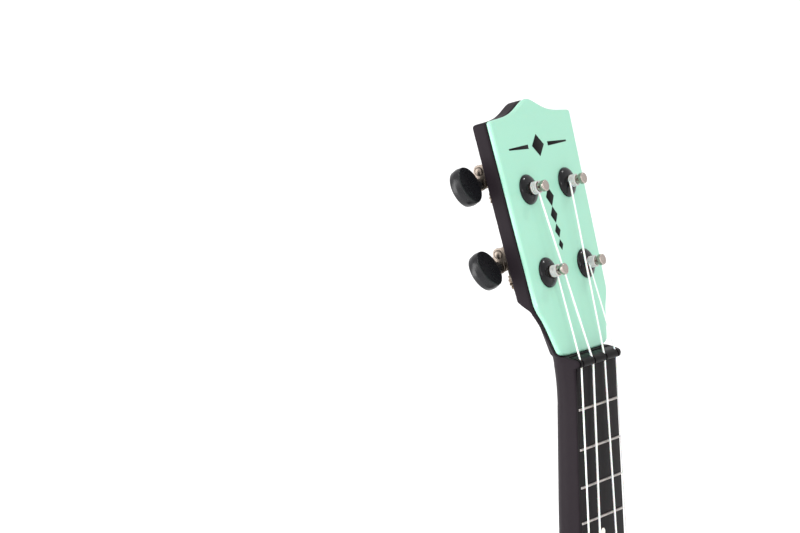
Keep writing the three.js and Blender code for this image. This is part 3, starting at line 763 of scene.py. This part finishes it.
def make_fingerboard():
    """The thin board, the thicker tongue under it over the body, and the position dots."""
    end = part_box("fingerboard")[0].z / MM
    half = board_half(end)
    outline = [(NUT_HALF_WIDTH, 0), (half, end), (-half, end), (-NUT_HALF_WIDTH, 0)]
    slab = plate("fret_board", [outline], 0, BOARD_THICK, 0.12)
    finish_piece(slab, "board", replaces=["fingerboard"])
    inset = 0.3
    upper = board_half(TOP_Z)
    outline = [(upper, TOP_Z), (half - inset, end + inset), (-half + inset, end + inset),
               (-upper, TOP_Z)]
    tongue = plate("board_tongue", [outline], BOARD_THICK - inset,
                   SOUNDBOARD_Y - BOARD_THICK + inset, inset)
    finish_piece(tongue, "board")
    profile = [(0, 0.3), (1.9, 0.3), (2.0, 0.0), (1.85, -0.05), (0, -0.06)]
    for number in MARKED_FRETS:
        dot = turned(f"marker_dot_{number}", profile, 32, shift(0, 0, fret_gap(number)))
        finish_piece(dot, "saddle")


def fret_z(number):
    low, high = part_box(f"fret_{number:02d}")
    return (low.z + high.z) / 2 / MM


def fret_gap(number):
    """Middle of the space behind a fret."""
    return (fret_z(number) + fret_z(number - 1)) / 2


def make_frets():
    """Round-topped wires pressed on to the board, their ends filed down to its edges."""
    for number in range(1, FRETS + 1):
        low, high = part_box(f"fret_{number:02d}")
        half, crest = high.x / MM, -low.y / MM
        width = (high.z - low.z) / 2 / MM * FRET_SLIMMING
        z = fret_z(number)
        rings = []
        for x, scale in ((-half, 0.25), (-half + 0.25, 0.8), (-half + 0.8, 1), (half - 0.8, 1),
                         (half - 0.25, 0.8), (half, 0.25)):
            ring = [Vector((x, FRET_ROOT, z - width)) * MM]
            for i in range(13):
                angle = math.pi * i / 12
                ring.append(Vector((x, -crest * scale * math.sin(angle) ** 0.8,
                                    z - width * math.cos(angle))) * MM)
            ring.append(Vector((x, FRET_ROOT, z + width)) * MM)
            rings.append(ring)
        fret = loft(f"fret_wire_{number:02d}", rings)
        clean(fret)
        finish_piece(fret, "nickel", replaces=[f"fret_{number:02d}"], look=STEEL)


NUT_CREST_Z = 1.2
NUT_FULLNESS = 0.77  # 1 makes the roll a quarter ellipse, less makes it squarer
NUT_RAMP = 5.3  # depth at which the roll leaves the plate


def nut_profile():
    """Side view of the nut, as depth and height: seat, roll up to the crest, and lip."""
    low, high = (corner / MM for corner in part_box("nut"))
    crest, seat, rear, lip = low.y, high.y, high.z, low.z
    profile = [(seat, 0.15), (seat, rear), (NUT_RAMP, rear)]
    steps = 16
    for i in range(1, steps + 1):
        angle = math.pi / 2 * i / steps
        y = NUT_RAMP - (NUT_RAMP - crest) * math.sin(angle) ** NUT_FULLNESS
        z = NUT_CREST_Z + (rear - NUT_CREST_Z) * max(math.cos(angle), 0) ** NUT_FULLNESS
        profile.append((y, z))
    return profile + [(crest + 0.12, NUT_CREST_Z - 0.7), (crest + 0.45, lip + 0.45),
                      (crest + 0.9, lip + 0.1), (crest + 1.4, lip), (-0.45, lip),
                      (-0.05, lip + 0.25), (-0.05, 0.15)]


def nut_slot(name):
    """Cutter for one string's slot, which drops away towards the post."""
    x, radius = STRING_FACTS[name]
    floor = NUT_STRING_Y + radius + 0.02
    wide = radius + 0.12
    section = [(-wide, -6), (wide, -6), (wide, -0.3), (wide * 0.6, 0), (-wide * 0.6, 0),
               (-wide, -0.3)]
    run = [(-3, floor - 0.05), (1.4, floor), (3, floor + 0.35), (9, floor + 2.2)]
    cut = loft("cutter", [[Vector((x + dx, y + dy, z)) * MM for dx, dy in section]
                          for z, y in run])
    clean(cut)
    return cut


def make_nut():
    """Quarter-round roll with four string slots, rising from the face plate to its crest."""
    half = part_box("nut")[1].x
    rings = [[Vector((x, y * MM, z * MM)) for y, z in nut_profile()] for x in (-half, half)]
    roll = loft("nut_roll", rings)
    clean(roll)
    roll = rounded(roll, 0.5, 4, 60)
    roll = combine(roll, [nut_slot(name) for name in STRINGS])
    smooth_by_angle(roll, 40)
    finish_piece(roll, "moulding", replaces=["nut"])


# ---- strings ----

# Each string's place across the nut, and its radius.
STRING_FACTS = {"string_4": (-15.8, 0.40), "string_3": (-5.3, 0.50),
                "string_2": (5.3, 0.45), "string_1": (15.8, 0.38)}
STRING_IN_SLOT = 4.4  # how deep a string lies in its slot of the bridge
NUT_STRING_Y = -1.3
POST_RADIUS = 2.0
WAIST_FROM, WAIST_TO = 2.5, 6.6  # heights of the post's thin part, where the string winds
MEET_HEIGHT = 3.4  # height at which the straight run meets the winding
EXIT_HEIGHT = 7.0  # height of the hole that takes the string's end


def string_saddle_x(name):
    """A string's place across the saddle: its box ends one radius outside its middle there."""
    low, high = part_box(name)
    nut_x, radius = STRING_FACTS[name]
    outer = high.x if nut_x > 0 else low.x
    return outer / MM - math.copysign(radius, nut_x)


def head_point(x, height, up):
    return TO_HEAD @ (Vector((x, -height, up)) * MM)


def make_strings():
    """Each string's straight run from the bridge over saddle and nut, its knot and its winding."""
    saddle_low, saddle_high = (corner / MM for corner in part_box("saddle"))
    saddle_z = (saddle_low.z + saddle_high.z) / 2
    bridge_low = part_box("bridge")[0] / MM
    for name, tuner in STRINGS.items():
        nut_x, radius = STRING_FACTS[name]
        side = side_of(tuner)
        up = joint_place("spindle", tuner).z / math.cos(TILT) / MM
        x = string_saddle_x(name)
        slot_y = bridge_low.y + STRING_IN_SLOT - radius
        crest_y = saddle_low.y - radius
        points = [Vector(point) * MM for point in (
            (x, slot_y, bridge_low.z - 1.2), (x, slot_y, saddle_z - 8.6),
            (x, crest_y + 0.9, saddle_z - 1.1), (x, crest_y + 0.12, saddle_z - 0.3),
            (x, crest_y, saddle_z + 0.6), (nut_x, NUT_STRING_Y, 0), (nut_x, NUT_STRING_Y, 1.0))]
        start = points[-1]
        meet = head_point(side * (POST_X - POST_RADIUS - radius), MEET_HEIGHT, up)
        points.append(start + (meet - start) * 0.012 + Vector((0, -0.05, 0)) * MM)
        points.append(meet)
        piece = wire(f"{name}_line", points, radius * MM)
        finish_piece(piece, "string", replaces=[name])
        make_knot(name, points[0], radius)
        make_winding(name, tuner, side, up, radius)


def make_knot(name, end, radius):
    """The stopper knot behind the bridge: a few uneven turns and a short tail."""
    points = []
    turns = 2.2
    count = 60
    for i in range(count + 1):
        t = i / count
        angle = 2 * math.pi * turns * t
        wide = (radius * 1.7 + 0.25 * math.sin(3 * angle)) * MM
        points.append(end + Vector((wide * math.cos(angle), wide * math.sin(angle) * 0.8,
                                    (0.3 - 1.6 * t) * MM)))
    points.append(points[-1] + Vector((0.6, -0.5, -1.8)) * MM)
    knot = wire(f"{name}_knot", points, radius * 0.95 * MM, resolution=3)
    finish_piece(knot, "string")


def make_winding(name, tuner, side, up, radius):
    """Turns of string up the post from where the line meets it, then through the post's hole."""
    points = []
    coil = POST_RADIUS + radius
    low = WAIST_FROM + radius
    turns = math.floor((WAIST_TO - WAIST_FROM) / (2 * radius)) - 0.75
    steps = int(turns * 28)
    start_angle = 0 if side < 0 else math.pi
    for i in range(steps + 1):
        turn = turns * i / steps
        angle = start_angle - side * 2 * math.pi * turn
        height = low + 2 * radius * 1.01 * turn
        points.append(head_point(side * POST_X + coil * math.cos(angle), height,
                                 up + coil * math.sin(angle)))
    points.append(head_point(side * POST_X, EXIT_HEIGHT, up + side * 0.2))
    winding = wire(f"{name}_winding", points, radius * MM, resolution=4)
    # The winding takes the painted-shade grey instead of the strings' white.
    finish_piece(winding, "string", f"spindle_{tuner}", [f"winding_{tuner}"], SHADED_WINDING)


# ---- tuners ----
# Depths run back along the post's axis, in mm, from the face of the head.

TEETH = 16
GEAR_PITCH = 4.9  # pitch radii of the wheel and of the worm
WORM_PITCH = 2.2
LEAD = 2 * math.pi * GEAR_PITCH / TEETH
WORM_DEPTH = 16.0  # depth of the worm's axis and of the wheel's middle
WORM_RISE = GEAR_PITCH + WORM_PITCH
HOLE_HEIGHT = 7.1
BASE_FRONT = CORE_BACK + 0.15
BASE_THICK = 1.1
EAR_THICK = 1.2
BUTTON_TURN = {"upper_left": -12, "lower_left": -18, "upper_right": 8, "lower_right": -12}
BUTTON_OUT = 25.3
BUTTON_HALF = 2.8
PADDLE_SHIFT = -0.5  # the oval paddle against the round disc of the CAD
PADDLE_LENGTH = 0.875


def make_bushing(tuner, at_post):
    """Domed collar in the front of the head, with its sleeve down the hole."""
    profile = [(2.68, 8), (3.9, 8), (3.9, -0.02), (6.75, -0.02), (6.98, -0.12), (7.0, -0.35),
               (6.85, -0.75), (6.45, -1.2), (5.8, -1.62), (5.0, -1.95), (4.2, -2.15),
               (3.5, -2.27), (2.95, -2.3), (2.75, -2.2), (2.68, -1.9), (2.68, 8)]
    bushing = turned(f"ferrule_{tuner}", profile, 64, at_post)
    finish_piece(bushing, "bushing", replaces=[f"bushing_{tuner}"])


def make_post(tuner, at_post):
    """Post with a thin part for the winding, a cross hole above it and a wider tip."""
    foot = 18.4
    profile = [(0, foot), (1.7, foot), (1.8, foot - 0.1), (1.8, 13.4), (2.4, 13.4), (2.5, 13.3),
               (2.5, -2.5), (2.0, -2.7), (2.0, -6.7), (1.95, -7.1), (2.0, -7.45),
               (2.2, -7.75), (2.5, -7.95), (2.6, -8.15), (2.6, -9.5), (2.52, -9.8),
               (2.3, -9.97), (2.0, -10.0), (1.2, -9.97), (0, -9.95)]
    post = turned(f"string_post_{tuner}", profile, 48, at_post)
    hole = turned("hole", [(0, -5), (0.62, -5), (0.62, 5), (0, 5)], 20,
                  at_post @ shift(0, -HOLE_HEIGHT, 0), axis="X")
    post = combine(post, [hole])
    smooth_by_angle(post, 40)
    finish_piece(post, "nickel", f"spindle_{tuner}", [f"post_{tuner}"])


def make_wheel(tuner, at_post):
    """Worm wheel with slanted, chamfered teeth and a raised hub."""
    half_tooth = [(4.1, 0.62), (4.1, 0.58), (4.7, 0.45), (5.25, 0.29), (5.35, 0.2)]
    tooth = [(radius, -half) for radius, half in half_tooth] + half_tooth[::-1]
    slant = LEAD / (2 * math.pi * WORM_PITCH) / GEAR_PITCH
    rings = []
    for depth, trim in ((-2.0, 0.25), (-1.75, 0), (-0.6, 0), (0.6, 0), (1.75, 0), (2.0, 0.25)):
        ring = []
        for number in range(TEETH):
            middle = math.pi / 2 + 2 * math.pi * number / TEETH
            for full, half in tooth:
                radius = full - trim if full > GEAR_PITCH else full
                angle = middle + half / radius - slant * depth
                ring.append(at_post @ (Vector((radius * math.cos(angle), WORM_DEPTH + depth,
                                               radius * math.sin(angle))) * MM))
        rings.append(ring)
    wheel = loft(f"worm_gear_{tuner}", rings)
    clean(wheel)
    smooth_by_angle(wheel, 28)
    finish_piece(wheel, "brass", f"spindle_{tuner}", [f"worm_wheel_{tuner}"])
    profile = [(0, 13.5), (2.9, 13.5), (3.1, 13.7), (3.1, 18.2), (2.95, 18.35), (0, 18.35)]
    hub = turned(f"gear_hub_{tuner}", profile, 40, at_post)
    finish_piece(hub, "brass", f"spindle_{tuner}")


def cut_slot(head, place, turn, low, high):
    """Cuts a driver slot across a screw's head, turned about the screw's axis."""
    cut = block(low, high)
    cut.matrix_world = place @ Matrix.Rotation(turn, 4, "Y")
    return combine(head, [cut])


def make_wheel_screw(tuner, at_post):
    profile = [(0, 15), (0.9, 15), (0.9, 18.45), (2.5, 18.45), (2.7, 18.6), (2.7, 19.0),
               (2.5, 19.5), (1.9, 19.95), (1.0, 20.15), (0, 20.2)]
    screw = turned(f"wheel_cap_screw_{tuner}", profile, 32, at_post)
    screw = cut_slot(screw, at_post, 0.6, (-4, 19.4, -0.35), (4, 21, 0.35))
    smooth_by_angle(screw, 40)
    finish_piece(screw, "nickel", f"spindle_{tuner}", [f"wheel_screw_{tuner}"])


def make_worm(tuner, at_worm):
    """Shaft with a one-start thread, collars beside the ear, and its run into the button."""
    side = side_of(tuner)
    core = 1.2
    thread_half = 2.25 * LEAD
    # Section of the thread: share of a turn, and radius.
    flank = [(0.06, 2.6), (0.115, 2.5), (0.16, 2.1), (0.22, 1.5), (0.27, 1.25), (0.33, core),
             (0.42, core)]
    thread = [(0.0, 2.6), *flank, (0.5, core),
              *[(1 - share, radius) for share, radius in reversed(flank)]]
    # Places along the shaft, outwards, and the radius there, or None where the thread is.
    stations = [(-7.4, 1.3), (-7.2, 1.5), (-4.95, 1.5), (-4.6, 1.3)]
    per_turn = 24
    count = int(4.5 * per_turn)
    stations += [(-thread_half + LEAD * i / per_turn, None) for i in range(count + 1)]
    stations += [(4.6, 1.3), (4.95, 1.5), (8.3, 1.5), (8.45, 1.6), (8.6, 2.3), (8.75, 2.4),
                 (9.25, 2.4), (9.4, 2.3), (9.5, 1.7), (9.6, 1.5), (10.2, 1.5), (10.3, 1.7),
                 (10.4, 2.3), (10.55, 2.4), (11.25, 2.4), (11.4, 2.3), (11.5, 1.6),
                 (11.7, 1.5), (20.3, 1.5)]
    if side < 0:
        stations.reverse()
    rings = []
    for out, plain in stations:
        x = side * out
        turn = min(max(x, -thread_half), thread_half) / LEAD + 0.25
        fade = min(1, max(0.0, (thread_half - abs(x)) / 0.5))
        ring = []
        for share, radius in thread:
            angle = 2 * math.pi * (turn + share)
            use = core + (radius - core) * fade if plain is None else plain
            ring.append(at_worm @ (Vector((x, use * math.cos(angle), use * math.sin(angle))) * MM))
        rings.append(ring)
    shaft = loft(f"worm_{tuner}", rings)
    clean(shaft)
    smooth_by_angle(shaft, 50)
    finish_piece(shaft, "nickel", f"key_{tuner}", [f"worm_shaft_{tuner}"], AGED)


def make_button(tuner, at_worm):
    """Oval paddle with a crisp rim and faintly dished faces, and a stem over the shaft."""
    side = side_of(tuner)
    place = (at_worm @ shift(side * BUTTON_OUT, 0, 0)
             @ Matrix.Rotation(math.radians(BUTTON_TURN[tuner]), 4, "X"))
    h = BUTTON_HALF
    profile = [(0, h - 0.35), (3, h - 0.3), (5.5, h - 0.15), (7.2, h - 0.02), (8.25, h),
               (8.42, h - 0.05), (8.56, h - 0.17), (8.65, h - 0.36), (8.86, 1.1), (8.97, 0.4),
               (9.0, 0)]
    profile += [(radius, -height) for radius, height in reversed(profile[:-1])]
    oval = place @ shift(side * PADDLE_SHIFT, 0, 0) @ Matrix.Scale(PADDLE_LENGTH, 4, (1, 0, 0))
    disc = turned(f"paddle_{tuner}", profile, 72, oval)
    finish_piece(disc, "button", f"key_{tuner}", [f"button_{tuner}"])
    low, high = sorted((-side * 10.6, -side * 7.1))
    profile = [(1.55, low), (2.5, low), (2.8, low + 0.3), (2.9, (low + high) / 2),
               (2.8, high - 0.3), (2.5, high), (1.55, high), (1.55, low)]
    stem = turned(f"paddle_stem_{tuner}", profile, 40, place, axis="X")
    finish_piece(stem, "button", f"key_{tuner}")


def make_base_plate(tuner, at_post):
    """Stamped base with clipped corners and a hole for the post."""
    corners = [(-7, -5.5), (8, -5.5), (13.6, 1), (13.6, 16.4), (-7, 16.4)]
    outline = []
    for i, (x, z) in enumerate(corners):
        before, after = corners[i - 1], corners[(i + 1) % len(corners)]
        for other, share in ((before, 0.12), (before, 0.04), (after, 0.04), (after, 0.12)):
            outline.append((side_of(tuner) * (x + (other[0] - x) * share),
                            z + (other[1] - z) * share))
    base = plate(f"base_plate_{tuner}", [outline, circle(0, 0, 3.1)], BASE_FRONT, BASE_THICK, 0.2,
                 at_post)
    finish_piece(base, "nickel", replaces=[f"tuner_plate_{tuner}"], look=AGED)


def arc(x, z, radius, start, end, step):
    """Points on an arc, by angles in degrees."""
    turns = [math.radians(angle) for angle in range(start, end, step)]
    return [(x + radius * math.cos(turn), z + radius * math.sin(turn)) for turn in turns]


def make_ears(tuner, at_post):
    """Two bent ears with an eye for the worm shaft, and the rivet on the outer one."""
    side = side_of(tuner)
    shape = [(BASE_FRONT + 0.3, 3.4), (BASE_FRONT + 0.3, 8.5), (WORM_DEPTH - 1.6, 8.65)]
    shape += arc(WORM_DEPTH - 1, 5.8, 2.9, 90, -1, -9)
    shape += arc(WORM_DEPTH, 0, 3, 0, -181, -10)
    shape += [(WORM_DEPTH - 2.85, 1.2), (WORM_DEPTH - 3.6, 2.2)]
    eye = circle(WORM_DEPTH, 0, 1.66, 40)
    across = Matrix(((0, 1, 0, 0), (1, 0, 0, 0), (0, 0, 1, 0), (0, 0, 0, 1)))
    for out, word in ((-6.6, "inner"), (12.0, "outer")):
        ear = plate(f"ear_{word}_{tuner}", [shape, eye], 0, EAR_THICK, 0.18)
        low = out if side > 0 else -out - EAR_THICK
        ear.data.transform(at_post @ shift(low, 0, WORM_RISE) @ across)
        clean(ear)
        finish_piece(ear, "nickel", look=AGED)
    rivet = turned(f"ear_rivet_{tuner}", [
        (0, 0), (1.9, 0), (2.05, 0.15), (2.05, 0.4), (1.8, 0.75), (1.2, 1.0), (0, 1.1)], 32,
        at_post @ shift(side * 13.2, WORM_DEPTH - 1, WORM_RISE + 5.8)
        @ Matrix.Scale(side, 4, (1, 0, 0)), axis="X")
    finish_piece(rivet, "nickel", look=AGED)


def make_plate_screws(tuner, at_post):
    """Two round heads with a cross slot."""
    profile = [(0, 0.9), (1.75, 0.9), (1.9, 1.1), (1.8, 1.5), (1.3, 1.95), (0.7, 2.15), (0, 2.2)]
    profile = [(radius, BASE_FRONT + rise) for radius, rise in profile]
    for word, x, z in (("low", 4.2, -3.2), ("high", -3.6, 13.6)):
        place = at_post @ shift(side_of(tuner) * x, 0, z)
        head = turned(f"plate_screw_{word}_{tuner}", profile, 28, place)
        for turn in (0.3, math.pi / 2 + 0.3):
            head = cut_slot(head, place, turn, (-1.1, BASE_FRONT + 1.6, -0.17),
                            (1.1, BASE_FRONT + 3, 0.17))
        smooth_by_angle(head, 40)
        finish_piece(head, "nickel", look=AGED)


def make_tuner(tuner):
    at_post = Matrix.Translation(joint_place("spindle", tuner)) @ HEAD_TURN
    at_worm = Matrix.Translation(joint_place("key", tuner)) @ HEAD_TURN
    make_bushing(tuner, at_post)
    make_post(tuner, at_post)
    make_wheel(tuner, at_post)
    make_wheel_screw(tuner, at_post)
    make_worm(tuner, at_worm)
    make_button(tuner, at_worm)
    make_base_plate(tuner, at_post)
    make_ears(tuner, at_post)
    make_plate_screws(tuner, at_post)


# ---- carried-over nodes ----

def finish_inner_pieces():
    """The block, bolt and braces inside the body keep their shapes and get their materials."""
    for name, look in (("neck_block", SPRUCE), ("brace_upper", SPRUCE), ("brace_lower", SPRUCE),
                       ("neck_bolt", NICKEL)):
        piece = frame["nodes"][name]
        dress(piece, look)
        edge = piece.modifiers.new("edge", "BEVEL")
        edge.width = 0.4 * MM
        edge.segments = 2
        edge.limit_method = "ANGLE"


# ---- scene ----

# Where the photograph was taken from, in metres, and its picture's right and up.
CAMERA_EYE = Vector((-1.008, -0.5859, 0.189))
CAMERA_RIGHT = Vector((0.5602786, -0.8269369, -0.0475749))
CAMERA_UP = Vector((0.1264359, 0.0286186, 0.9915619))
CAMERA_LENS = 116.6
LIT_PLACE = Vector((0, 0, 0.05))  # what the area lights face
FLOOR_HALF = 400  # in metres, so that its edge is never seen


def make_camera():
    """At the photograph's viewing angle: from the left of the front, a little above."""
    data = bpy.data.cameras.new("camera")
    data.lens = CAMERA_LENS
    data.sensor_width = 36
    data.clip_start = 0.05
    data.clip_end = 2000
    camera = add_object("camera", data)
    back = CAMERA_RIGHT.cross(CAMERA_UP)
    facing = Matrix((CAMERA_RIGHT, CAMERA_UP, back)).transposed().to_4x4()
    camera.matrix_world = Matrix.Translation(CAMERA_EYE) @ facing
    bpy.context.scene.camera = camera


def add_area(name, place, size, power):
    data = bpy.data.lights.new(name, "AREA")
    data.shape = "RECTANGLE"
    data.size, data.size_y = size
    data.energy = power
    light = add_object(name, data)
    aim = (LIT_PLACE - Vector(place)).to_track_quat("-Z", "Y")
    light.matrix_world = Matrix.Translation(place) @ aim.to_matrix().to_4x4()


def add_sun(name, toward, strength, spread):
    """Distant soft light that travels along the given direction."""
    data = bpy.data.lights.new(name, "SUN")
    data.energy = strength
    data.angle = math.radians(spread)
    light = add_object(name, data)
    light.matrix_world = Vector(toward).to_track_quat("-Z", "Y").to_matrix().to_4x4()


def make_studio():
    """A pale floor 1 mm under the tail, a white surround and large soft lights."""
    ground = cad_low.z - 0.001
    corners = [(x * FLOOR_HALF, y * FLOOR_HALF, ground)
               for x, y in ((-1, -1), (1, -1), (1, 1), (-1, 1))]
    floor = add_mesh("floor", corners, [(0, 1, 2, 3)], smooth=False)
    floor.data.materials.append(material("studio_floor", (0.97, 0.97, 0.97), 0.9, specular=0.0))
    world = bpy.data.worlds.new("studio")
    bpy.context.scene.world = world
    world.use_nodes = True
    sky = world.node_tree.nodes["Background"]
    sky.inputs["Color"].default_value = (1, 1, 1, 1)
    sky.inputs["Strength"].default_value = 1.0
    add_sun("key", (-0.42, 0.45, -0.79), 0.62, 5)
    add_sun("left_fill", (0.85, 0.10, -0.50), 1.0, 60)
    add_area("front_card", (-0.55, -0.90, 0.28), (0.08, 0.30), 1.8)
    add_area("left_panel", (-0.75, 0.75, 0.15), (0.5, 1.0), 10)
    bpy.context.scene.view_settings.view_transform = "Standard"
    bpy.context.scene.view_settings.look = "None"


make_camera()
make_body_shell()
make_soundboard()
make_bridge()
make_saddle()
make_neck()
make_head_face()
make_ornament()
make_fingerboard()
make_frets()
make_nut()
make_strings()
for tuner_name in TUNERS:
    make_tuner(tuner_name)
finish_inner_pieces()
make_studio()
